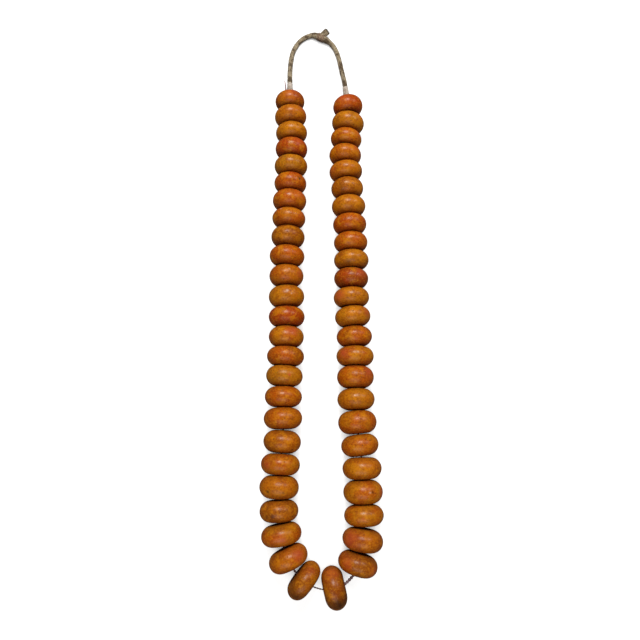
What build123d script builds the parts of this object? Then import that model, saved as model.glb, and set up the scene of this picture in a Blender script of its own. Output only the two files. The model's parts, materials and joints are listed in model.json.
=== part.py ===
from build123d import *
import math
import os
from collections import namedtuple

# A strand of rondelle beads on one thread, closed by a bound neck cord, laid out on a flat
# surface. Millimetres and degrees. +Z is up, +Y runs along the strand towards the neck, and
# the origin is on the surface, under the middle of the loop that the beads make.

# Beads: counted from the one at the bottom of the loop up each side to the neck.
left_count = 25
right_count = 24
bottom_diameter = 25.0       # the bead at the bottom of the loop
upper_diameter = 22.6        # where the graduation of the sizes ends
end_diameter = 21.5          # the last bead of each side, beside the neck cord
bottom_thickness = 13.3
upper_thickness = 12.5
diameter_spread = 0.45       # how far a hand-made bead is off the graduated diameter
thickness_spread = 0.7       # and off the graduated thickness
rim_share = 0.45             # radius of the rounded rim, as a share of the thickness
hole_diameter = 3.6
hole_edge = 0.5              # rounding of the hole's two mouths
bead_gap = 0.3               # clearance between neighbouring beads where they are closest

# Thread through the beads.
thread_diameter = 1.4
wide_gap = 2.0               # mouths further apart than this show the thread

# Bindings that stop the last beads, and the neck cord that they hold.
binding_diameter = 5.0
binding_length = 9.0
binding_neck = 4.0           # the binding's diameter where the cord leaves it
cord_diameter = 3.4
knot_diameter = 6.4
knot_end_diameter = 4.0
stub_diameter = 4.7
tail_diameter = 0.8

# Course of the strand: (bead, direction of its hole in degrees from +X), going up each side
# from the bottom bead, and evenly turned between the beads that are given.
left_course = ((0, 193), (1, 141), (2, 115), (3, 101), (4, 93), (5, 88), (7, 86), (8, 91),
               (10, 87), (12, 89), (14, 92), (16, 88), (22, 89), (24, 95), (25, 91))
right_course = ((0, 13), (1, 73), (2, 81), (3, 91), (5, 92), (6, 97), (8, 91), (10, 90),
                (12, 95), (14, 88), (16, 92), (20, 94), (22, 84), (23, 83), (24, 96))
# How much thicker than the graduated size the beads along each side are, in the same way.
left_fullness = ((0, -0.3), (1, -1.0), (2, -1.2), (4, -0.3), (6, 0.4), (8, 0.5),
                 (10, -0.5), (12, -0.3), (14, 1.0), (17, 0.7), (19, 0), (21, 0.4),
                 (23, -0.3), (25, -0.5))
right_fullness = ((0, -0.3), (2, -0.8), (4, 0.6), (6, 0.2), (8, 1.2), (10, -0.2),
                  (16, -0.4), (18, 0.7), (21, -0.9), (24, 0.2))
bottom_x = 8.5               # the bottom bead lies a little to the right
strand_top = 173.4           # the upper face of the last bead on the left

# Neck cord: each half's route from its binding down to the surface and round to the knot.
left_route = ((-22.3, 189.0, 10.4), (-22.5, 199.0, 4.1), (-22.2, 208.0, 1.75),
              (-20.8, 216.6, 1.75), (-17.0, 224.0, 1.75), (-13.6, 227.7, 1.75),
              (-9.7, 230.2, 1.8), (-5.3, 231.2, 2.3))
right_route = ((17.9, 185.2, 10.4), (16.9, 194.8, 4.3), (15.7, 203.8, 1.75),
               (14.2, 211.6, 1.75), (12.1, 218.0, 1.75), (9.8, 222.2, 1.8),
               (6.6, 225.4, 2.3))
stub_start = (-0.4, 228.4, 3.2)
stub_end = (4.9, 232.7, 3.6)
tail_root = (-1.9, 1.2, -0.2)    # from the foot of the left binding to where the end comes out
tail_reach = (-1.9, 10.2, -1.5)  # and from there to its tip

Bead = namedtuple("Bead", "name x y heading diameter thickness")


def unit(heading):
    """Direction in the plane of the surface."""
    return Vector(math.cos(math.radians(heading)), math.sin(math.radians(heading)), 0)


def along_course(course, rank):
    """A bead's value from a course, changed evenly between the given beads."""
    for (low, start), (high, end) in zip(course, course[1:]):
        if rank <= high:
            return start + (end - start) * (rank - low) / (high - low)
    return course[-1][1]


def graduated(bottom, upper, rank, count):
    """Size that changes evenly from the bottom bead to the last one of a side."""
    return bottom + (upper - bottom) * rank / count


def bead_size(rank, count, fullness, phase):
    """Diameter and thickness: graduated, and each bead unevenly off the rule."""
    thickness = graduated(bottom_thickness, upper_thickness, rank, count)
    thickness += along_course(fullness, rank)
    thickness += thickness_spread * math.sin(3.7 * rank + 2.1 * phase) * min(rank, 1)
    if rank == count:
        return end_diameter, thickness
    diameter = graduated(bottom_diameter, upper_diameter, rank, count)
    diameter += diameter_spread * math.sin(2.4 * rank + phase) * min(rank, 1)
    return diameter, thickness


def spacing(lower, upper):
    """Step from one bead's centre to the next one's.

    The rims on the inside of the turn are closest. Each is a rounding whose centre lies a rim's
    radius inside the bead, and those two centres are both radii and one gap apart.
    """
    way = (unit(lower.heading) + unit(upper.heading)).normalized()
    inside = math.copysign(90, upper.heading - lower.heading)
    offset = Vector(0, 0, 0)
    reach = bead_gap
    for bead, sign in ((lower, -1), (upper, 1)):
        rim = rim_share * bead.thickness
        offset += unit(bead.heading + inside) * (bead.diameter / 2 - rim) * sign
        offset -= unit(bead.heading) * (bead.thickness / 2 - rim)
        reach += rim
    along = way.dot(offset)
    return way * (math.sqrt(reach**2 - offset.length**2 + along**2) - along)


def side_of_strand(side, count, course, fullness, phase, bottom):
    """Beads of one side in order, each placed against the one below it."""
    beads = [bottom._replace(heading=course[0][1])]
    for rank in range(1, count + 1):
        diameter, thickness = bead_size(rank, count, fullness, phase)
        heading = along_course(course, rank)
        number = count + 1 - rank
        bead = Bead(f"bead_{side}_{number:02d}", 0, 0, heading, diameter, thickness)
        step = spacing(beads[-1], bead)
        beads.append(bead._replace(x=beads[-1].x + step.X, y=beads[-1].y + step.Y))
    return beads


def laid_out():
    """Both sides of the strand, moved so that the left side ends at its place at the neck."""
    diameter, thickness = bead_size(0, left_count, left_fullness, 0)
    bottom = Bead("bead_bottom", bottom_x, 0, 0, diameter, thickness)
    left = side_of_strand("left", left_count, left_course, left_fullness, 0.6, bottom)
    right = side_of_strand("right", right_count, right_course, right_fullness, 2.9, bottom)
    rise = strand_top - mouth(left[-1], 1).Y
    left = [bead._replace(y=bead.y + rise) for bead in left]
    right = [bead._replace(y=bead.y + rise) for bead in right]
    return left, right


def mouth(bead, end, beyond=0):
    """Point on the hole's axis at a face of the bead, or some way beyond it."""
    centre = Vector(bead.x, bead.y, bead.diameter / 2)
    return centre + unit(bead.heading) * end * (bead.thickness / 2 + beyond)


def bead_solid(bead):
    """Flat faces, a rounded rim and a drilled hole with eased mouths, standing on its rim."""
    outer = bead.diameter / 2
    bore = hole_diameter / 2
    section = Pos((outer + bore) / 2, 0) * Rectangle(outer - bore, bead.thickness)
    rim_corners = section.vertices().group_by(Axis.X)[-1]
    section = fillet(rim_corners, rim_share * bead.thickness)
    bore_corners = section.vertices().group_by(Axis.X)[0]
    section = fillet(bore_corners, hole_edge)
    turned = revolve(section, Axis.Y)
    return Location((bead.x, bead.y, outer), (0, 0, bead.heading - 90)) * turned


def tube(name, points, diameter):
    """Round tube on straight runs joined by tangent arcs as large as the runs allow."""
    radii = []
    for before, corner, after in zip(points, points[1:], points[2:]):
        turn = (corner - before).get_angle(after - corner)
        shorter = min((corner - before).length, (after - corner).length)
        radii.append(0.45 * shorter / math.tan(math.radians(turn / 2)))
    path = FilletPolyline(*points, radius=radii)
    section = Plane(origin=points[0], z_dir=points[1] - points[0]) * Circle(diameter / 2)
    solid = sweep(section, path=path)
    share = solid.volume / (path.length * math.pi * diameter**2 / 4)
    print(f"{name}: {path.length:.1f} long, volume {share:.3f} of section times length,",
          "radii", *(f"{radius:.1f}" for radius in radii))
    return solid


def thread_points(left, right):
    """From the left binding down through every hole and up to the right binding.

    In the wide gaps at the bottom it turns at both mouths, and is straight inside the beads.
    Further up it turns once in each gap, half way between the two holes that meet there.
    """
    sides = []
    for beads in (left, right):
        points = []
        for rank in range(1, len(beads)):
            lower = mouth(beads[rank - 1], 1)
            upper = mouth(beads[rank], -1)
            if (upper - lower).length > wide_gap:
                points += [lower, upper]
            else:
                points.append((lower + upper) / 2)
        points.append(mouth(beads[-1], 1, bead_gap))
        sides.append(points)
    return sides[0][::-1] + sides[1]


def binding(bead):
    """Bound end of the cord: broad where it stops the bead, narrow where the cord leaves."""
    base = binding_diameter / 2
    neck = binding_neck / 2
    with BuildSketch() as section:
        with BuildLine():
            Polyline((0, binding_length), (0, 0), (base, 0), (base, 0.25 * binding_length))
            Spline((base, 0.25 * binding_length), (neck, binding_length),
                   tangents=((0, 1), (0, 1)))
            Line((neck, binding_length), (0, binding_length))
        make_face()
    turned = revolve(section.sketch, Axis.Y)
    return Location(mouth(bead, 1, bead_gap), (0, 0, bead.heading - 90)) * turned


def cord_points(bead, route):
    """From the end of the binding along the chosen route."""
    start = mouth(bead, 1, bead_gap + binding_length)
    return [start] + [Vector(*point) for point in route]


def knot(left_end, right_end):
    """Bound overlap of the two halves: a barrel from one cord end to the other."""
    half = (right_end - left_end).length / 2
    middle = knot_diameter / 2
    end = knot_end_diameter / 2
    with BuildSketch() as section:
        with BuildLine():
            Polyline((end, half), (0, half), (0, -half), (end, -half))
            Spline((end, -half), (middle, 0), (end, half), tangents=((1, 1), (-1, 1)))
        make_face()
    turned = revolve(section.sketch, Axis.Y)
    lift = Vector(0, 0, middle - (left_end.Z + right_end.Z) / 2)
    way = right_end - left_end
    angle = math.degrees(math.atan2(way.Y, way.X)) - 90
    return Location((left_end + right_end) / 2 + lift, (0, 0, angle)) * turned


def rod(start, end, diameter):
    """Straight round piece between two points."""
    way = end - start
    return extrude(Plane(origin=start, z_dir=way) * Circle(diameter / 2), way.length)


def thread_tail(bead):
    """Short end of the thread that sticks out beside the left binding."""
    start = mouth(bead, 1, bead_gap) + Vector(*tail_root)
    return rod(start, start + Vector(*tail_reach), tail_diameter)


def main():
    os.makedirs("parts", exist_ok=True)
    left, right = laid_out()
    left_cord = cord_points(left[-1], left_route)
    right_cord = cord_points(right[-1], right_route)
    for bead in left + right[1:]:
        export_step(bead_solid(bead), f"parts/{bead.name}.step")
    pieces = {
        "stringing_thread": tube("thread", thread_points(left, right), thread_diameter),
        "binding_left": binding(left[-1]),
        "binding_right": binding(right[-1]),
        "neck_cord_left": tube("left cord", left_cord, cord_diameter),
        "neck_cord_right": tube("right cord", right_cord, cord_diameter),
        "neck_knot": knot(left_cord[-1], right_cord[-1]),
        "knot_stub": rod(Vector(*stub_start), Vector(*stub_end), stub_diameter),
        "thread_tail": thread_tail(left[-1]),
    }
    for name, solid in pieces.items():
        export_step(solid, f"parts/{name}.step")


main()
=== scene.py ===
import json
import math

import bpy
import numpy as np
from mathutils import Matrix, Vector


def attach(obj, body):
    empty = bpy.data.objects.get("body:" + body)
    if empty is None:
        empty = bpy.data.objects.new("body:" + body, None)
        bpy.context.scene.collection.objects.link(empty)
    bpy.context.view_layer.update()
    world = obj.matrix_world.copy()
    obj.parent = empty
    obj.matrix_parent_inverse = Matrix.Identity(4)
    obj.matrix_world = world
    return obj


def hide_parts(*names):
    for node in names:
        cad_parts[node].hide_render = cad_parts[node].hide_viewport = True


# A strand of hand-shaped amber resin beads on a plied thread, closed by a wound cotton neck
# cord. Metres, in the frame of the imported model: +Z up, +Y along the strand to the neck.

MM = 0.001
TURN = 2 * math.pi

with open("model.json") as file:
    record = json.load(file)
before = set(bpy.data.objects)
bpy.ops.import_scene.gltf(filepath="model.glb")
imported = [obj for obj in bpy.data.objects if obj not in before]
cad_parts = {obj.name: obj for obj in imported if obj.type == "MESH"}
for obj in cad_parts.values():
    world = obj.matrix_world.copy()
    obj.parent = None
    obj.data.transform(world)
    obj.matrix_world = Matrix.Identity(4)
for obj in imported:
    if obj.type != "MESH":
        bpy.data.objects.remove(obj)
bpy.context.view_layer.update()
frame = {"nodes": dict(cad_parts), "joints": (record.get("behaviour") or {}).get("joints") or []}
joints = {joint["child"]: joint for joint in frame["joints"]}


# ---------------------------------------------------------------- meshes from grids of points

def new_piece(name, points, faces, material, body, replaced=()):
    """One smooth mesh piece that rides on a body and takes the place of CAD nodes."""
    mesh = bpy.data.meshes.new(name)
    mesh.from_pydata(points.tolist(), [], faces)
    mesh.polygons.foreach_set("use_smooth", np.ones(len(mesh.polygons), bool))
    mesh.update()
    piece = bpy.data.objects.new(name, mesh)
    bpy.context.scene.collection.objects.link(piece)
    mesh.materials.append(material)
    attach(piece, body)
    if replaced:
        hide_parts(*replaced)
    return piece


def grid_faces(rows, columns, rows_closed):
    """Quads of a grid whose columns run round and meet; the rows may meet too."""
    row = np.arange(rows if rows_closed else rows - 1)[:, None]
    column = np.arange(columns)[None, :]
    after = (row + 1) % rows
    beside = (column + 1) % columns
    corners = (row * columns + column, row * columns + beside,
               after * columns + beside, after * columns + column)
    return np.stack(np.broadcast_arrays(*corners), axis=-1).reshape(-1, 4)


def tube_mesh(rings):
    """Points and faces of a closed tube: the rings of points, and a pole in each end."""
    rows, columns, _ = rings.shape
    poles = np.stack([rings[0].mean(0), rings[-1].mean(0)])
    points = np.concatenate([rings.reshape(-1, 3), poles])
    column = np.arange(columns)
    beside = (column + 1) % columns
    last = (rows - 1) * columns
    first_pole = np.stack([np.full(columns, rows * columns), beside, column], axis=-1)
    last_pole = np.stack([np.full(columns, rows * columns + 1), last + column, last + beside],
                         axis=-1)
    faces = grid_faces(rows, columns, False).tolist() + first_pole.tolist() + last_pole.tolist()
    return points, faces


def store(piece, name, kind, values):
    """Puts one value per point on a piece, for its material to read."""
    attribute = piece.data.attributes.new(name, kind, "POINT")
    field = "vector" if kind == "FLOAT_VECTOR" else "value"
    attribute.data.foreach_set(field, np.asarray(values, np.float32).ravel())


def waves(points, rng, size, count=9):
    """Smooth random field from 0 to 1: a sum of sine waves, about size long, in all directions."""
    ways = rng.normal(size=(count, 3))
    ways *= TURN / size / np.linalg.norm(ways, axis=1)[:, None] * rng.uniform(0.6, 1.5, (count, 1))
    phases = rng.uniform(0, TURN, count)
    total = np.sin(points @ ways.T + phases).sum(-1) / math.sqrt(count)
    return 1 / (1 + np.exp(-1.6 * total))


# ---------------------------------------------------------------- shader helpers

def link(tree, source, target):
    tree.links.new(source, target)


def node(tree, kind, inputs=(), **settings):
    """A shader node with its settings, and its inputs as values or as the sockets that feed it."""
    made = tree.nodes.new(kind)
    for name, value in settings.items():
        setattr(made, name, value)
    for name, value in dict(inputs).items():
        socket = made.inputs[name]
        if isinstance(value, bpy.types.NodeSocket):
            link(tree, value, socket)
        else:
            socket.default_value = value
    return made


def noise(tree, place, scale, detail=3.0, roughness=0.55):
    made = node(tree, "ShaderNodeTexNoise", {"Vector": place, "Scale": scale, "Detail": detail,
                                             "Roughness": roughness})
    return made.outputs["Fac"]


def ramp(tree, value, low, high, start=0.0, end=1.0):
    """Value mapped smoothly from the range low to high onto start to end."""
    made = node(tree, "ShaderNodeMapRange",
                {"Value": value, "From Min": low, "From Max": high, "To Min": start, "To Max": end},
                interpolation_type="SMOOTHSTEP")
    return made.outputs["Result"]


def math_node(tree, operation, first, second):
    made = tree.nodes.new("ShaderNodeMath")
    made.operation = operation
    for socket, value in zip(made.inputs, (first, second)):
        if isinstance(value, bpy.types.NodeSocket):
            link(tree, value, socket)
        else:
            socket.default_value = value
    return made.outputs[0]


def mix(tree, factor, first, second, blend="MIX"):
    """Colour mixed from first to second."""
    made = tree.nodes.new("ShaderNodeMix")
    made.data_type = "RGBA"
    made.blend_type = blend
    sockets = (made.inputs["Factor"], made.inputs[6], made.inputs[7])
    for socket, value in zip(sockets, (factor, first, second)):
        if isinstance(value, bpy.types.NodeSocket):
            link(tree, value, socket)
        else:
            socket.default_value = (*value, 1) if isinstance(value, tuple) else value
    return made.outputs[2]


def group(name, inputs, outputs):
    """An empty shader node group, and its input and output nodes."""
    tree = bpy.data.node_groups.new(name, "ShaderNodeTree")
    for label, kind in inputs:
        tree.interface.new_socket(name=label, in_out="INPUT", socket_type=kind)
    for label, kind in outputs:
        tree.interface.new_socket(name=label, in_out="OUTPUT", socket_type=kind)
    start = tree.nodes.new("NodeGroupInput")
    end = tree.nodes.new("NodeGroupOutput")
    return tree, start.outputs, end.inputs


FLOAT, COLOR, VECTOR = "NodeSocketFloat", "NodeSocketColor", "NodeSocketVector"


def attribute(tree, name, output="Fac"):
    return node(tree, "ShaderNodeAttribute", attribute_name=name).outputs[output]


def surface_material(name, shader_inputs):
    """A new material: its tree and its Principled shader with constants set on the shader."""
    material = bpy.data.materials.new(name)
    material.use_nodes = True
    shader = material.node_tree.nodes["Principled BSDF"]
    for label, value in shader_inputs.items():
        shader.inputs[label].default_value = value
    return material, material.node_tree, shader


# ---------------------------------------------------------------- amber resin

TINTS = {
    "ochre": (0.56, 0.185, 0.004),
    "mustard": (0.48, 0.175, 0.005),
    "amber": (0.54, 0.145, 0.003),
    "orange": (0.52, 0.100, 0.002),
    "red": (0.44, 0.055, 0.002),
    "rust": (0.32, 0.055, 0.004),
    "brown": (0.35, 0.095, 0.003),
}
MARKINGS = {
    "blotch": (0.31, 0.060, 0.003),
    "glow": (0.72, 0.25, 0.004),
    "light grain": (0.76, 0.31, 0.02),
    "dark grain": (0.20, 0.045, 0.004),
    "pore": (0.11, 0.022, 0.004),
    "blush": (0.56, 0.085, 0.03),
    # Colour of the grime and painted shade on the faces and in the hole.
    "grime": (0.06, 0.012, 0.003),
    # Dark specks, and painted shade on the lower ends of left_25 and the bottom bead.
    "dark": (0.035, 0.010, 0.004),
    "pale": (0.80, 0.62, 0.45),
}


def mottled_resin_group():
    """Colour, roughness and height of old resin: cloudy patches, fine grain, pores, and grime with
    painted shade between the beads.
    """
    tree, given, made = group(
        "mottled_resin",
        (("Place", VECTOR), ("Tint", COLOR), ("Patch", COLOR), ("Mottle", FLOAT),
         ("Age", FLOAT), ("Dark", FLOAT), ("Blush", FLOAT), ("Pale", FLOAT)),
        (("Color", COLOR), ("Roughness", FLOAT), ("Height", FLOAT)))
    place = given["Place"]
    clouds = noise(tree, place, 95, 3.0)
    patches = ramp(tree, clouds, 0.44, 0.62)
    patches = math_node(tree, "MULTIPLY", patches, given["Mottle"])
    color = mix(tree, patches, given["Tint"], given["Patch"])
    blotches = ramp(tree, noise(tree, place, 230, 5.0, 0.68), 0.46, 0.64, 0.0, 0.55)
    color = mix(tree, blotches, color, MARKINGS["blotch"])
    glow = ramp(tree, noise(tree, place, 170, 3.0, 0.6), 0.50, 0.66, 0.0, 0.6)
    color = mix(tree, glow, color, MARKINGS["glow"])
    grain = noise(tree, place, 900, 4.0, 0.65)
    color = mix(tree, ramp(tree, grain, 0.48, 0.72, 0.0, 0.5), color, MARKINGS["light grain"])
    color = mix(tree, ramp(tree, grain, 0.50, 0.28, 0.0, 0.6), color, MARKINGS["dark grain"])
    cells = node(tree, "ShaderNodeTexVoronoi", {"Vector": place, "Scale": 420.0,
                                                "Randomness": 1.0})
    near = ramp(tree, cells.outputs["Distance"], 0.30, 0.08)
    chosen = ramp(tree, node(tree, "ShaderNodeSeparateColor",
                             {"Color": cells.outputs["Color"]}).outputs["Red"], 0.84, 0.90)
    pores = math_node(tree, "MULTIPLY", near, chosen)
    color = mix(tree, math_node(tree, "MULTIPLY", pores, 0.5), color, MARKINGS["pore"])
    color = mix(tree, given["Blush"], color, MARKINGS["blush"])
    # Grime and painted shade between the beads, read from an attribute and broken up by noise.
    worn_and_shaded = ramp(tree, noise(tree, place, 330, 3.0), 0.3, 0.75, 0.55, 1.0)
    grime_and_shade = math_node(tree, "MULTIPLY", given["Age"], worn_and_shaded)
    color = mix(tree, grime_and_shade, color, MARKINGS["grime"])
    color = mix(tree, given["Dark"], color, MARKINGS["dark"])
    color = mix(tree, given["Pale"], color, MARKINGS["pale"])
    link(tree, color, made["Color"])
    dull = ramp(tree, noise(tree, place, 520, 3.0), 0.3, 0.75, 0.26, 0.42)
    dull = math_node(tree, "ADD", dull, math_node(tree, "MULTIPLY", given["Age"], 0.25))
    dull = math_node(tree, "ADD", dull, math_node(tree, "MULTIPLY", pores, 0.25))
    link(tree, dull, made["Roughness"])
    height = math_node(tree, "MULTIPLY", noise(tree, place, 620, 4.0, 0.6), 0.45)
    height = math_node(tree, "SUBTRACT", height, math_node(tree, "MULTIPLY", pores, 0.8))
    height = math_node(tree, "ADD", height, math_node(tree, "MULTIPLY", grain, 0.16))
    link(tree, height, made["Height"])
    return tree


def resin(name, tint, patch, mottle):
    """One bead's resin: its own two tints, clouded into each other."""
    material, tree, shader = surface_material(
        "resin_" + name, {"Specular IOR Level": 0.28, "Subsurface Weight": 0.05,
                          "Subsurface Scale": 0.0015})
    place = node(tree, "ShaderNodeTexCoord").outputs["Object"]
    marks = node(tree, "ShaderNodeSeparateXYZ", {"Vector": attribute(tree, "marks", "Vector")})
    look = tree.nodes.new("ShaderNodeGroup")
    look.node_tree = mottled
    link(tree, place, look.inputs["Place"])
    look.inputs["Tint"].default_value = (*TINTS[tint], 1)
    look.inputs["Patch"].default_value = (*TINTS[patch], 1)
    look.inputs["Mottle"].default_value = mottle
    link(tree, attribute(tree, "grime_and_shade"), look.inputs["Age"])
    for label, axis in (("Dark", "X"), ("Blush", "Y"), ("Pale", "Z")):
        link(tree, marks.outputs[axis], look.inputs[label])
    bump = node(tree, "ShaderNodeBump", {"Height": look.outputs["Height"], "Distance": 0.00018,
                                         "Strength": 0.8})
    link(tree, look.outputs["Color"], shader.inputs["Base Color"])
    link(tree, look.outputs["Roughness"], shader.inputs["Roughness"])
    link(tree, bump.outputs["Normal"], shader.inputs["Normal"])
    return material


# ---------------------------------------------------------------- beads

AROUND = 112                 # points round a bead
OUTSIDE = 58                 # points over its outside, from one mouth of the hole to the other
HOLE = 1.8 * MM
MOUTH = 0.8 * MM             # worn rounding of the hole's mouths
FACE_GROWTH = 0.12 * MM      # how far each face stands beyond the CAD bead's
GRIME_AND_SHADE_EDGE = 0.90            # share of the radius where grime and painted shade begin, inwards from the rim
GRIME_AND_SHADE_REACH = 0.42           # share of the radius over which it deepens
GRIME_AND_SHADE_MOST = 0.85            # its strength on the face; inside the hole it is 1
CHANNELS = {"pit": 0, "dark": 0, "blush": 1, "pale": 2}    # where a mark goes in "marks"

# Each bead's resin: main tint, the tint it clouds into, how strongly, and its own marks. A mark
# is its kind, its place across the bead (-1 left to 1 right) and along it (1 towards the neck),
# its size in millimetres and its strength. A pit is a dark mark that is also a dent.
BEADS = {
    "left_01": ("amber", "rust", 0.9, (("blush", 0.1, 0.5, 5.5, 0.5),)),
    "left_02": ("amber", "ochre", 0.7, (("blush", 0.75, 0.3, 3.2, 0.55),)),
    "left_03": ("ochre", "brown", 0.6, (("dark", 0.1, 0.55, 0.5, 0.7),
                                        ("dark", 0.45, 0.1, 0.5, 0.6))),
    "left_04": ("red", "orange", 0.7, (("blush", 0.5, 0.2, 4.0, 0.4),)),
    "left_05": ("mustard", "ochre", 0.7, (("dark", -0.3, 0.3, 0.5, 0.6),
                                          ("dark", 0.2, 0.4, 0.4, 0.6))),
    "left_06": ("orange", "red", 0.9, (("pit", 0.60, -0.05, 0.8, 1.0),)),
    "left_07": ("orange", "amber", 0.8, (("blush", 0.7, 0.35, 3.4, 0.6),)),
    "left_08": ("orange", "ochre", 0.7, (("pale", -0.45, 0.55, 0.5, 0.7),
                                         ("blush", 0.8, 0.1, 3.0, 0.5))),
    "left_09": ("brown", "ochre", 0.8, (("dark", -0.4, -0.2, 0.6, 0.8),)),
    "left_10": ("orange", "amber", 0.7, ()),
    "left_11": ("amber", "orange", 0.8, (("pale", 0.2, 0.3, 0.5, 0.6),
                                         ("blush", 0.85, 0.0, 3.0, 0.6))),
    "left_12": ("ochre", "amber", 0.7, (("pale", 0.1, 0.2, 0.6, 0.6),
                                        ("pale", 0.3, -0.1, 0.4, 0.6))),
    "left_13": ("red", "orange", 0.8, (("pale", 0.0, 0.3, 0.5, 0.5),)),
    "left_14": ("ochre", "orange", 0.8, (("blush", 0.45, 0.5, 3.6, 0.7),)),
    "left_15": ("orange", "brown", 0.8, ()),
    "left_16": ("ochre", "mustard", 0.8, (("blush", 0.3, 0.0, 0.9, 0.8),
                                          ("dark", -0.3, 0.1, 0.5, 0.5))),
    "left_17": ("orange", "amber", 0.8, ()),
    "left_18": ("amber", "orange", 0.8, (("dark", 0.5, -0.2, 0.6, 0.6),)),
    "left_19": ("amber", "brown", 0.7, ()),
    "left_20": ("orange", "ochre", 0.8, (("blush", -0.6, -0.1, 3.0, 0.4),)),
    "left_21": ("amber", "ochre", 0.8, (("pit", -0.52, -0.35, 0.9, 0.9),
                                        ("dark", 0.25, -0.4, 0.8, 0.5))),
    "left_22": ("brown", "amber", 0.8, (("dark", -0.25, -0.35, 1.3, 0.6),
                                        ("dark", -0.55, -0.3, 0.9, 0.5))),
    "left_23": ("ochre", "orange", 0.9, (("blush", 0.05, -0.35, 3.6, 0.6),)),
    "left_24": ("amber", "orange", 0.9, (("blush", 0.65, 0.0, 4.5, 0.6),)),
    # Its broad dark mark on the lower left end is painted shade.
    "left_25": ("brown", "amber", 0.7, (("dark", -0.68, -0.2, 5.5, 0.6),
                                        ("blush", 0.7, 0.2, 3.2, 0.4))),
    # Its broad dark mark on the lower end is painted shade.
    "bottom": ("brown", "rust", 0.6, (("dark", 0.66, 0.15, 5.5, 0.9),
                                      ("dark", 0.60, 0.4, 1.0, 0.8),
                                      ("blush", -0.8, 0.1, 4.5, 0.5))),
    "right_01": ("red", "orange", 0.8, (("blush", -0.4, 0.4, 4.0, 0.5),)),
    "right_02": ("ochre", "mustard", 0.7, (("dark", 0.25, 0.4, 0.4, 0.6),
                                           ("blush", 0.7, 0.5, 3.0, 0.4))),
    "right_03": ("orange", "amber", 0.8, (("blush", 0.75, 0.4, 2.8, 0.5),)),
    "right_04": ("amber", "orange", 0.8, (("blush", 0.6, 0.3, 2.6, 0.4),)),
    "right_05": ("amber", "ochre", 0.8, (("blush", -0.85, -0.1, 3.0, 0.5),)),
    "right_06": ("brown", "amber", 0.8, ()),
    "right_07": ("ochre", "amber", 0.7, ()),
    "right_08": ("orange", "red", 0.6, ()),
    "right_09": ("orange", "amber", 0.7, ()),
    "right_10": ("ochre", "brown", 0.7, (("dark", -0.2, -0.7, 2.0, 0.4),)),
    "right_11": ("rust", "red", 0.8, (("blush", 0.5, 0.4, 3.5, 0.6),)),
    "right_12": ("ochre", "amber", 0.7, (("blush", -0.75, 0.0, 4.2, 0.75),)),
    "right_13": ("ochre", "amber", 0.7, (("blush", 0.75, 0.2, 3.6, 0.6),)),
    "right_14": ("orange", "brown", 0.8, ()),
    "right_15": ("ochre", "orange", 0.9, (("blush", -0.7, 0.1, 4.0, 0.7),
                                          ("pale", 0.1, 0.2, 0.5, 0.6))),
    "right_16": ("orange", "amber", 0.7, (("blush", 0.7, 0.4, 3.4, 0.7),)),
    "right_17": ("ochre", "amber", 0.8, (("dark", 0.1, 0.2, 0.5, 0.6),)),
    "right_18": ("orange", "ochre", 0.8, ()),
    "right_19": ("amber", "orange", 0.7, ()),
    "right_20": ("amber", "ochre", 0.9, ()),
    "right_21": ("ochre", "orange", 0.9, (("pit", 0.42, 0.0, 0.9, 0.8),
                                          ("pale", 0.28, 0.02, 0.5, 0.7),
                                          ("blush", 0.88, -0.1, 3.2, 0.7))),
    "right_22": ("ochre", "orange", 0.9, (("blush", -0.1, -0.15, 1.2, 0.5),)),
    "right_23": ("amber", "rust", 0.8, (("blush", -0.75, 0.0, 5.0, 0.75),)),
    "right_24": ("brown", "orange", 0.8, (("blush", -0.6, 0.1, 3.6, 0.5),
                                          ("blush", 0.75, -0.2, 3.6, 0.5))),
}


def bead_section(outer, half, rim, dome):
    """Profile of a bead's ring, as distance from the hole's axis and place along it.

    The rim is a quarter of an ellipse on each side, r = outer - rim + rim * cos(v) and
    z = half * sin(v), and the face goes on from it to the mouth of the hole. Both are lowered by
    the share dome * (r / outer) ^ 2. Quarter circles round the mouths, and the hole is straight.
    """
    mouth = HOLE + MOUTH
    v = np.linspace(0, math.pi / 2, 400)
    face = np.linspace(outer - rim, mouth, 60)[1:]
    r = np.concatenate([outer - rim + rim * np.cos(v), face])
    z = np.concatenate([half * np.sin(v), np.full_like(face, half)])
    z = z * (1 - dome * (r / outer) ** 2)
    r = np.concatenate([r[::-1], r[1:]])
    z = np.concatenate([-z[::-1], z[1:]])
    run = np.concatenate([[0], np.cumsum(np.hypot(np.diff(r), np.diff(z)))])
    even = np.linspace(0, run[-1], OUTSIDE)
    r = np.interp(even, run, r)
    z = np.interp(even, run, z)
    bend = np.linspace(0, math.pi / 2, 6)[1:]
    arc_r = mouth - MOUTH * np.sin(bend)
    arc_z = z[-1] - MOUTH * (1 - np.cos(bend))
    inner_z = np.linspace(arc_z[-1], -arc_z[-1], 7)[1:-1]
    r = np.concatenate([r, arc_r, np.full_like(inner_z, HOLE), arc_r[::-1]])
    z = np.concatenate([z, arc_z, inner_z, -arc_z[::-1]])
    return r, z


def bead_place(name):
    """Centre, axis, way across, radius and half thickness of a bead, from its CAD node."""
    joint = joints["bead_" + name]
    centre = np.array(joint["pos_m"])
    axis = np.array(joint["axis"])
    axis = axis * (1 if axis[1] >= 0 else -1)
    across = np.cross(axis, (0, 0, 1))
    mesh = frame["nodes"]["bead_" + name].data
    corners = np.zeros(len(mesh.vertices) * 3)
    mesh.vertices.foreach_get("co", corners)
    corners = corners.reshape(-1, 3) - centre
    along = corners @ axis
    outer = np.linalg.norm(corners - np.outer(along, axis), axis=1).max()
    return centre, axis, across, outer, along.max()


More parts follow.
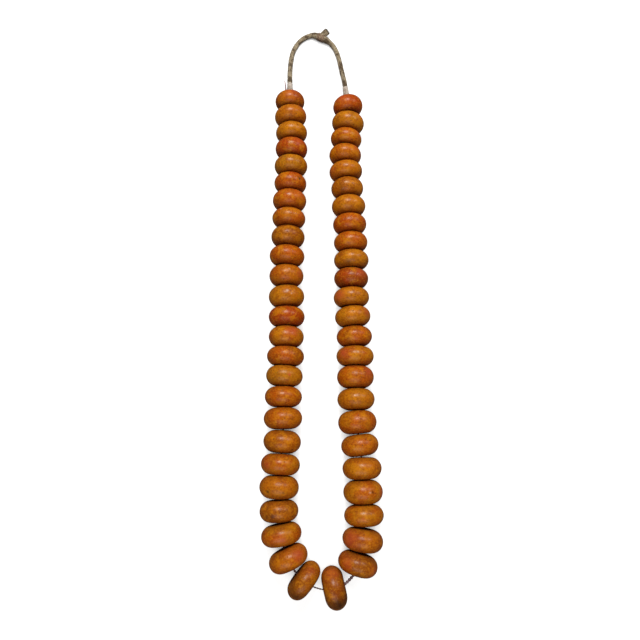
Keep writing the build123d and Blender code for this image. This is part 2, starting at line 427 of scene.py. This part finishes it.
def bead(name, number):
    """A hand-shaped bead: the ring's profile turned round its hole, a little oval and wedged.

    The point at angle a and profile place (r, z) is the centre + z * wedge(a) along the axis
    + r * oval(a) outwards. Smooth random fields then draw the outside in by less than a fifth
    of a millimetre, and each pit draws it in by a bell-shaped dent. The faces all but close the
    gaps to the next beads, and nothing else grows, so the bead turns freely in its place.
    """
    centre, axis, across, outer, half = bead_place(name)
    tint, patch, mottle, marks = BEADS[name]
    rng = np.random.default_rng(700 + number)
    r, z = bead_section(outer, half + FACE_GROWTH, rng.uniform(1.0, 1.12) * half,
                        rng.uniform(0.0, 0.02))
    a = np.linspace(0, TURN, AROUND, endpoint=False)[:, None]
    oval = 1 - rng.uniform(0.004, 0.016) * (1 + np.cos(2 * (a - rng.uniform(0, TURN)))) / 2
    wedge = 1 - rng.uniform(0.001, 0.008) * (1 + np.cos(a - rng.uniform(0, TURN))) / 2
    outwards = np.cos(a)[..., None] * across + np.sin(a)[..., None] * np.array((0, 0, 1))
    local = (r * oval)[..., None] * outwards + (z * wedge)[..., None] * axis
    outside = np.broadcast_to(r > HOLE * 1.01, local.shape[:2])
    lumps = 0.009 * waves(local, rng, 14 * MM) + 0.003 * waves(local, rng, 5 * MM)
    local = local * (1 - np.where(outside, lumps, 0))[..., None]
    flat = local.reshape(-1, 3)
    level = np.stack([flat @ across / outer, flat @ axis / half], axis=1)
    tones = np.zeros((len(flat), 3))
    sink = np.zeros(len(flat))
    for kind, right, up, size, strength in marks:    # each centred on the bead's upper side
        away = np.hypot(level[:, 0] - right, (level[:, 1] - up) * half / outer)
        near = flat[np.argmin(away + (flat[:, 2] < 0))]
        gap = np.linalg.norm(flat - near, axis=1) / (size * MM)
        ragged = 0.75 + 0.5 * waves(flat, rng, 0.9 * size * MM + 0.6 * MM)
        bell = strength * np.exp(-(gap * ragged) ** 2)
        channel = CHANNELS[kind]
        tones[:, channel] = np.maximum(tones[:, channel], bell)
        if kind == "pit":
            sink = np.maximum(sink, 0.45 * size * MM * bell)
    flat = flat * (1 - sink / np.linalg.norm(flat, axis=1))[:, None]
    # Handling keeps the rim bright; grime and painted shade between the beads lie on the faces,
    # towards the hole, and fill the hole.
    reach = np.broadcast_to(r / outer, local.shape[:2]).ravel()
    grime_and_shade = np.clip((GRIME_AND_SHADE_EDGE - reach) / GRIME_AND_SHADE_REACH, 0, 1) ** 0.9
    grime_and_shade = np.maximum(grime_and_shade * GRIME_AND_SHADE_MOST, np.where(outside.ravel(), 0, 1.0))
    faces = grid_faces(AROUND, len(r), True).tolist()
    piece = new_piece("amber_" + name, flat + centre, faces, resin(name, tint, patch, mottle),
                      "bead_" + name, ("bead_" + name,))
    store(piece, "marks", "FLOAT_VECTOR", tones)
    store(piece, "grime_and_shade", "FLOAT", grime_and_shade)
    return piece


mottled = mottled_resin_group()
amber = [bead(name, number) for number, name in enumerate(BEADS)]


# ---------------------------------------------------------------- cotton

LOOSE_FIBRE = (0.62, 0.55, 0.42)
GROOVE_DARK = (0.045, 0.028, 0.014)


def spun_cotton_group():
    """Colour and height of wound cotton: each turn of yarn differs, with fibres and grime."""
    tree, given, made = group(
        "spun_cotton",
        (("Wound", VECTOR), ("Place", VECTOR), ("Tint", COLOR), ("Grime", COLOR),
         ("Soiled", FLOAT), ("Groove", FLOAT)),
        (("Color", COLOR), ("Roughness", FLOAT), ("Height", FLOAT)))
    stretched = node(tree, "ShaderNodeMapping", {"Vector": given["Wound"],
                                                 "Scale": (0.25, 0.25, 1.0)}).outputs[0]
    turns = noise(tree, stretched, 1500, 2.0)
    fibres = noise(tree, stretched, 5200, 3.0, 0.7)
    drawn_out = node(tree, "ShaderNodeMapping", {"Vector": given["Wound"],
                                                 "Scale": (1.0, 1.0, 0.3)}).outputs[0]
    dirt = math_node(tree, "MULTIPLY", noise(tree, drawn_out, 520, 4.0, 0.6), 0.55)
    dirt = math_node(tree, "ADD", dirt,
                     math_node(tree, "MULTIPLY", noise(tree, given["Place"], 230, 4.0), 0.45))
    color = mix(tree, ramp(tree, turns, 0.35, 0.68, 0.0, 0.5), given["Tint"], given["Grime"])
    color = mix(tree, math_node(tree, "MULTIPLY", ramp(tree, dirt, 0.45, 0.55), given["Soiled"]),
                color, given["Grime"])
    color = mix(tree, ramp(tree, fibres, 0.5, 0.75, 0.0, 0.35), color, LOOSE_FIBRE)
    # Darker deep in the grooves of the winding and between the plies.
    color = mix(tree, math_node(tree, "MULTIPLY", given["Groove"], 0.7), color, GROOVE_DARK)
    link(tree, color, made["Color"])
    link(tree, ramp(tree, fibres, 0.3, 0.7, 0.82, 0.97), made["Roughness"])
    height = math_node(tree, "ADD", math_node(tree, "MULTIPLY", turns, 0.5), fibres)
    link(tree, height, made["Height"])
    return tree


def cotton(name, tint, grime, soiled):
    """Cotton yarn in its own tint, soiled by its own share."""
    material, tree, shader = surface_material(
        name, {"Sheen Weight": 0.25, "Sheen Roughness": 0.5, "Specular IOR Level": 0.2})
    place = node(tree, "ShaderNodeTexCoord").outputs["Object"]
    look = tree.nodes.new("ShaderNodeGroup")
    look.node_tree = spun
    link(tree, place, look.inputs["Place"])
    link(tree, attribute(tree, "wound", "Vector"), look.inputs["Wound"])
    link(tree, attribute(tree, "groove"), look.inputs["Groove"])
    look.inputs["Tint"].default_value = (*tint, 1)
    look.inputs["Grime"].default_value = (*grime, 1)
    look.inputs["Soiled"].default_value = soiled
    bump = node(tree, "ShaderNodeBump", {"Height": look.outputs["Height"], "Distance": 0.00008,
                                         "Strength": 0.9})
    link(tree, look.outputs["Color"], shader.inputs["Base Color"])
    link(tree, look.outputs["Roughness"], shader.inputs["Roughness"])
    link(tree, bump.outputs["Normal"], shader.inputs["Normal"])
    return material


spun = spun_cotton_group()
khaki = cotton("khaki_cotton", (0.45, 0.37, 0.245), (0.080, 0.048, 0.022), 0.95)
cream = cotton("cream_cotton", (0.86, 0.79, 0.72), (0.27, 0.18, 0.11), 0.5)
mauve = cotton("mauve_cotton", (0.60, 0.40, 0.44), (0.20, 0.11, 0.13), 0.5)
russet = cotton("russet_cotton", (0.36, 0.20, 0.14), (0.12, 0.05, 0.03), 0.6)
charred = cotton("soiled_cut_cotton", (0.085, 0.062, 0.04), (0.03, 0.02, 0.012), 0.8)


def nurbs_line(points, per_run=24):
    """The smooth line of a quadratic NURBS spline with these control points."""
    data = bpy.data.curves.new("route", "CURVE")
    data.dimensions = "3D"
    data.resolution_u = per_run
    spline = data.splines.new("NURBS")
    spline.points.add(len(points) - 1)
    spline.points.foreach_set("co", np.c_[points, np.ones(len(points))].ravel())
    spline.order_u = 3
    spline.use_endpoint_u = True
    carrier = bpy.data.objects.new("route", data)
    mesh = bpy.data.meshes.new_from_object(carrier)
    line = np.zeros(len(mesh.vertices) * 3)
    mesh.vertices.foreach_get("co", line)
    bpy.data.meshes.remove(mesh)
    bpy.data.objects.remove(carrier)
    bpy.data.curves.remove(data)
    return line.reshape(-1, 3)


def evenly(line, step):
    """Points a step apart along a line, and how far along it each one is."""
    run = np.concatenate([[0], np.cumsum(np.linalg.norm(np.diff(line, axis=0), axis=1))])
    along = np.linspace(0, run[-1], max(3, int(round(run[-1] / step)) + 1))
    return np.stack([np.interp(along, run, line[:, k]) for k in range(3)], axis=1), along


def sides_of(line):
    """Level and upright unit vectors square to a line that is nowhere upright itself."""
    way = np.gradient(line, axis=0)
    way /= np.linalg.norm(way, axis=1)[:, None]
    level = np.cross((0, 0, 1), way)
    level /= np.linalg.norm(level, axis=1)[:, None]
    return level, np.cross(way, level)


def wound_rings(line, along, wide, high, pitch, ridge, around):
    """Rings of a cord wound with yarn, and the groove and yarn coordinates of each point.

    At angle a and distance s the surface stands off the line by the ellipse (wide, high), less
    ridge * (1 - |sin(pi * (s / pitch - a / turn))| ^ 0.6), which is a helix of round turns.
    """
    a = np.linspace(0, TURN, around, endpoint=False)[None, :]
    level, upright = sides_of(line)
    wave = np.abs(np.sin(math.pi * (along[:, None] / pitch - a / TURN))) ** 0.6
    stand = 1 - ridge * (1 - wave) / np.broadcast_to(wide, along.shape)[:, None]
    x = np.broadcast_to(wide, along.shape)[:, None] * stand * np.cos(a)
    y = np.broadcast_to(high, along.shape)[:, None] * stand * np.sin(a)
    rings = line[:, None, :] + x[..., None] * level[:, None, :] + y[..., None] * upright[:, None, :]
    groove = (1 - wave) ** 2
    wound = np.stack([x, y, np.broadcast_to(along[:, None], x.shape)], axis=-1)
    return rings, groove, wound


def wound_piece(name, line, along, wide, high, pitch, ridge, around, material, replaced):
    """A wound cord, binding or knot as one closed tube on its line."""
    rings, groove, wound = wound_rings(line, along, wide, high, pitch, ridge, around)
    points, faces = tube_mesh(rings)
    piece = new_piece(name, points, faces, material, "string", replaced)
    ends = np.zeros((2, 3))
    store(piece, "groove", "FLOAT", np.concatenate([groove.ravel(), [0, 0]]))
    store(piece, "wound", "FLOAT_VECTOR", np.concatenate([wound.reshape(-1, 3), ends]))
    return piece


def uneven(along, rng, size, share):
    """Thickness along a hand-wound cord: 1 at most, less by up to a share."""
    line = np.stack([along, np.zeros_like(along), np.zeros_like(along)], axis=1)
    return 1 - share * waves(line, rng, size)


# Neck cord: each half's route, from its binding down to the surface and round to the knot.
LEFT_ROUTE = ((-22.3, 189.0, 10.4), (-22.5, 199.0, 4.1), (-22.2, 208.0, 1.75),
              (-20.8, 216.6, 1.75), (-17.0, 224.0, 1.75), (-13.6, 227.7, 1.75),
              (-9.7, 230.2, 1.8), (-5.3, 231.2, 2.3))
RIGHT_ROUTE = ((17.9, 185.2, 10.4), (16.9, 194.8, 4.3), (15.7, 203.8, 1.75),
               (14.2, 211.6, 1.75), (12.1, 218.0, 1.75), (9.8, 222.2, 1.8),
               (6.6, 225.4, 2.3))
CORD = 3.4 * MM
BINDING_LENGTH = 9.0 * MM
BEAD_GAP = 0.3 * MM


def binding_start(name):
    """Where a binding begins, beside the last bead's face, and the way it points."""
    centre, axis, _, _, half = bead_place(name)
    return centre + axis * (half + BEAD_GAP), axis


def binding(name, bead_name, rng):
    """Wound binding, broad where it stops the bead and narrow where the cord leaves it."""
    start, axis = binding_start(bead_name)
    along = np.linspace(0, BINDING_LENGTH, 200)
    line = start + along[:, None] * axis
    share = along / BINDING_LENGTH
    radius = (2.5 - 0.55 * np.clip((share - 0.15) / 0.85, 0, 1) ** 0.8) * MM
    radius = radius * uneven(along, rng, 2.5 * MM, 0.06)
    return wound_piece(name, line, along, radius, radius, pitch=0.52 * MM, ridge=0.16 * MM,
                       around=40, material=cream,
                       replaced=(name.replace("cream_", ""),))


def neck_cord(name, bead_name, route, seed, node_name):
    """One half of the neck cord, wound close with yarn, on the route's smooth line."""
    start, axis = binding_start(bead_name)
    points = np.concatenate([[start + axis * BINDING_LENGTH], np.array(route) * MM])
    line, along = evenly(nurbs_line(points), 0.075 * MM)
    rng = np.random.default_rng(seed)
    thick = CORD / 2 * uneven(along, rng, 6 * MM, 0.11)
    piece = wound_piece(name, line, along, 1.14 * thick, thick, pitch=0.48 * MM,
                        ridge=0.10 * MM, around=30, material=khaki,
                        replaced=(node_name,))
    return piece, line, points[0], along[-1]


rng = np.random.default_rng(31)
left_binding = binding("cream_binding_left", "left_01", rng)
right_binding = binding("cream_binding_right", "right_01", rng)
left_cord, left_line, left_exit, left_length = neck_cord(
    "wound_cord_left", "left_01", LEFT_ROUTE, 41, "neck_cord_left")
right_cord, right_line, right_exit, right_length = neck_cord(
    "wound_cord_right", "right_01", RIGHT_ROUTE, 43, "neck_cord_right")


def knot_body():
    """Overlap of the two halves, bound with yarn: widest in the middle, an oval of two cords."""
    ends = np.array(((-7.6, 231.0, 2.0), (-5.3, 231.2, 2.3), (0.7, 228.6, 2.9),
                     (6.6, 225.4, 2.3), (8.2, 223.8, 2.0))) * MM
    line, along = evenly(nurbs_line(ends), 0.08 * MM)
    share = along / along[-1]
    bulge = np.sin(math.pi * np.clip(share, 0, 1)) ** 0.9
    wide = (1.62 + 1.35 * bulge) * MM * uneven(along, np.random.default_rng(5), 3 * MM, 0.10)
    high = (1.62 + 0.55 * bulge) * MM
    piece = wound_piece("bound_knot", line, along, wide, high, pitch=0.55 * MM,
                        ridge=0.15 * MM, around=44, material=khaki,
                        replaced=("neck_knot",))
    return piece, line


def knot_lashing(line):
    """Five turns of russet yarn round the middle of the knot: a helix on the knot's oval."""
    first, last = int(0.36 * len(line)), int(0.66 * len(line))
    core, along = evenly(line[first:last], 0.1 * MM)
    level, upright = sides_of(core)
    turns = 5.0
    wide, high, yarn = 3.02 * MM, 2.26 * MM, 0.3 * MM
    a = TURN * turns * along / along[-1]
    helix = (core + (wide * np.cos(a))[:, None] * level
             + (high * np.sin(a))[:, None] * upright)
    line, along = evenly(helix, 0.12 * MM)
    return wound_piece("russet_lashing", line, along, yarn, yarn, pitch=0.9 * MM,
                       ridge=0.07 * MM, around=12, material=russet,
                       replaced=())


def cut_stub():
    """Cut end of the left half: a wound stub that widens a little to its cut."""
    points = np.array(((-4.8, 230.4, 2.5), (-0.9, 228.6, 3.1), (2.0, 230.2, 3.4),
                       (4.9, 232.7, 3.6))) * MM
    line, along = evenly(nurbs_line(points), 0.08 * MM)
    share = along / along[-1]
    wide = (1.85 + 0.85 * share ** 2) * MM
    high = (1.7 + 0.5 * share ** 2) * MM
    piece = wound_piece("cut_stub", line, along, wide, high, pitch=0.5 * MM, ridge=0.14 * MM,
                        around=36, material=khaki, replaced=("knot_stub",))
    return piece, line


knot, knot_line = knot_body()
lashing = knot_lashing(knot_line)
stub, stub_line = cut_stub()


def tuft(name, root, way, wide, high, count, length, thick, material, seed):
    """Cut fibres: short thin tapered strands that lean out of an oval end, in one mesh."""
    rng = np.random.default_rng(seed)
    way = way / np.linalg.norm(way)
    level = np.cross((0, 0, 1), way)
    level /= np.linalg.norm(level)
    upright = np.cross(way, level)
    a = rng.uniform(0, TURN, count)
    reach = np.sqrt(rng.uniform(0, 0.92, count))
    x = wide * reach * np.cos(a)
    y = high * reach * np.sin(a)
    lean = rng.normal(0, 0.22, (count, 2)) + np.stack([x / wide, y / high], axis=1) * 0.25
    size = length * rng.uniform(0.5, 1.0, count)
    t = np.linspace(-0.5, 1, 6)[None, :]
    curl = rng.normal(0, 0.25, (count, 2))
    push = size[:, None] * t
    centre = (root + push[..., None] * way
              + (x[:, None] + push * lean[:, :1] + push * t * curl[:, :1])[..., None] * level
              + (y[:, None] + push * lean[:, 1:] + push * t * curl[:, 1:])[..., None] * upright)
    b = np.linspace(0, TURN, 6, endpoint=False)
    ring = np.cos(b)[:, None] * level + np.sin(b)[:, None] * upright
    radius = thick / 2 * np.sqrt(np.clip(1.02 - t, 0, 1)) * rng.uniform(0.7, 1.2, (count, 1))
    rings = centre[:, :, None, :] + radius[..., None, None] * ring
    points, faces = [], []
    for strand in rings:
        own, its_faces = tube_mesh(strand)
        faces += [[corner + len(points) * len(own) for corner in face] for face in its_faces]
        points.append(own)
    flat = np.concatenate(points)
    piece = new_piece(name, flat, faces, material, "string")
    store(piece, "groove", "FLOAT", np.zeros(len(flat)))
    store(piece, "wound", "FLOAT_VECTOR", flat)
    return piece


frayed = tuft("frayed_cut_end", stub_line[-1], stub_line[-1] - stub_line[-9],
              wide=2.45 * MM, high=2.0 * MM, count=170, length=1.5 * MM, thick=0.40 * MM,
              material=charred, seed=8)


# ---------------------------------------------------------------- thread

def plied_piece(name, line, along, radius, lay, material, replaced, painted_shade=0.0):
    """Two-ply thread: at angle a and distance s it stands off by radius * max(|cos(a - turn *
    s / lay)| ^ 0.7, 0.55), two round plies that twist about each other once in each lay."""
    a = np.linspace(0, TURN, 16, endpoint=False)[None, :]
    level, upright = sides_of(line)
    lobes = np.maximum(np.abs(np.cos(a - TURN * along[:, None] / lay)) ** 0.7, 0.55)
    x = np.broadcast_to(radius, along.shape)[:, None] * lobes * np.cos(a)
    y = np.broadcast_to(radius, along.shape)[:, None] * lobes * np.sin(a)
    rings = line[:, None, :] + x[..., None] * level[:, None, :] + y[..., None] * upright[:, None, :]
    points, faces = tube_mesh(rings)
    piece = new_piece(name, points, faces, material, "string", replaced)
    wound = np.stack([x, y, np.broadcast_to(along[:, None], x.shape)], axis=-1).reshape(-1, 3)
    groove = np.clip((0.7 - lobes) / 0.15, 0, 1) * 0.8
    # This share darkens the thread with painted shade, through the groove attribute.
    groove = np.maximum(groove, np.broadcast_to(painted_shade, along.shape)[:, None])
    store(piece, "groove", "FLOAT", np.concatenate([groove.ravel(), [0, 0]]))
    store(piece, "wound", "FLOAT_VECTOR", np.concatenate([wound, np.zeros((2, 3))]))
    return piece


def thread_route():
    """From the left binding through every hole, bead by bead, to the right binding."""
    points = []
    order = [name for name in BEADS if name.startswith("left")] + ["bottom"]
    order += [name for name in reversed(BEADS) if name.startswith("right")]
    for name in order:
        centre, axis, _, _, half = bead_place(name)
        down = -1 if name.startswith("left") else 1
        points += [centre + axis * half * down * share for share in (-0.95, -0.35, 0.35, 0.95)]
    points[0] = binding_start("left_01")[0]
    points[-1] = binding_start("right_01")[0]
    return np.array(points)


thread_line, thread_along = evenly(nurbs_line(thread_route(), 12), 0.28 * MM)


def beside_bottom(neighbour):
    """1 on the thread between the bottom bead and a neighbour, faded out by 12 mm from there."""
    middle = (bead_place(neighbour)[0] + bead_place("bottom")[0]) / 2
    return np.exp(-(np.linalg.norm(thread_line - middle, axis=1) / (8 * MM)) ** 4)


# Drawn thin and darkened with painted shade on the left of the bottom bead, and full on its right.
worn_and_shaded, full = beside_bottom("left_25"), beside_bottom("right_24")
plied_piece("plied_thread", thread_line, thread_along, (0.72 - 0.26 * worn_and_shaded + 0.26 * full) * MM,
            lay=3.4 * MM, material=mauve, replaced=("stringing_thread",), painted_shade=worn_and_shaded)


def thread_end():
    """The thread's short end beside the left binding, tapered towards its tip."""
    start, _ = binding_start("left_01")
    base = start + np.array((-1.9, 1.2, -0.2)) * MM
    first = np.array(((0, 0, 0), (-1.3, 3.0, -0.2), (-1.5, 7.2, -0.8), (-2.2, 12.0, -2.0))) * MM
    line, along = evenly(nurbs_line(base + first), 0.15 * MM)
    radius = 0.62 * MM * (1 - 0.5 * (along / along[-1]) ** 2)
    return plied_piece("thread_end_left", line, along, radius, lay=2.4 * MM, material=mauve,
                       replaced=("thread_tail",))


tail = thread_end()


# ---------------------------------------------------------------- free cords


def floor():
    """A wide pale sheet under the strand. It looks white, with painted shade where pieces close
    in on it, and gives little light back."""
    half = 3.0
    drop = -0.05 * MM
    corners = ((-half, -half, drop), (half, -half, drop), (half, half, drop), (-half, half, drop))
    mesh = bpy.data.meshes.new("floor")
    mesh.from_pydata(corners, [], [(0, 1, 2, 3)])
    sheet = bpy.data.objects.new("floor", mesh)
    bpy.context.scene.collection.objects.link(sheet)
    material, tree, shader = surface_material("pale_paper", {"Roughness": 0.9,
                                                            "Specular IOR Level": 0.1})
    path = node(tree, "ShaderNodeLightPath").outputs["Is Camera Ray"]
    link(tree, mix(tree, path, (0.10, 0.095, 0.09), (0.45, 0.45, 0.45)),
         shader.inputs["Base Color"])
    shader.inputs["Emission Color"].default_value = (1, 1, 1, 1)
    # Ambient occlusion dims the glow: painted contact shade where pieces close in on the floor.
    nook = node(tree, "ShaderNodeAmbientOcclusion", {"Distance": 0.012}, samples=8)
    glow = ramp(tree, nook.outputs["AO"], 0.12, 0.55, 0.0, 0.86)
    link(tree, math_node(tree, "MULTIPLY", path, glow), shader.inputs["Emission Strength"])
    mesh.materials.append(material)


def softbox(name, place, target, size, watts, tint=(1, 1, 1)):
    """A rectangular area light that faces a point."""
    data = bpy.data.lights.new(name, "AREA")
    data.shape = "RECTANGLE"
    data.size, data.size_y = size
    data.energy = watts
    data.color = tint
    lamp = bpy.data.objects.new(name, data)
    lamp.location = place
    way = Vector(target) - Vector(place)
    lamp.rotation_euler = way.to_track_quat("-Z", "Y").to_euler()
    bpy.context.scene.collection.objects.link(lamp)


def studio():
    """A key box beyond the neck end, a weaker one at the right, a fill and a dim surround."""
    world = bpy.data.worlds.new("surround")
    bpy.context.scene.world = world
    world.use_nodes = True
    background = world.node_tree.nodes["Background"]
    background.inputs["Color"].default_value = (1.0, 0.96, 0.92, 1)
    background.inputs["Strength"].default_value = 0.06
    softbox("key", (-0.03, 0.50, 0.85), (0, 0.02, 0), (0.36, 0.24), 7.0, (1, 0.97, 0.91))
    softbox("side", (0.55, 0.35, 0.60), (0, 0.02, 0), (0.25, 0.25), 1.4, (1, 0.96, 0.93))
    softbox("fill", (-0.10, -0.75, 0.70), (0, 0, 0), (0.9, 0.6), 3.4, (1, 0.95, 0.90))


def camera():
    """Above the lower half of the strand, tipped towards the neck."""
    data = bpy.data.cameras.new("camera")
    data.lens = 31.84
    data.sensor_width = 36.0
    eye = bpy.data.objects.new("camera", data)
    eye.location = (0, -0.079, 0.377)
    eye.rotation_euler = (math.radians(12.9), 0, 0)
    bpy.context.scene.collection.objects.link(eye)
    bpy.context.scene.camera = eye


floor()
studio()
camera()
bpy.context.scene.view_settings.view_transform = "Standard"
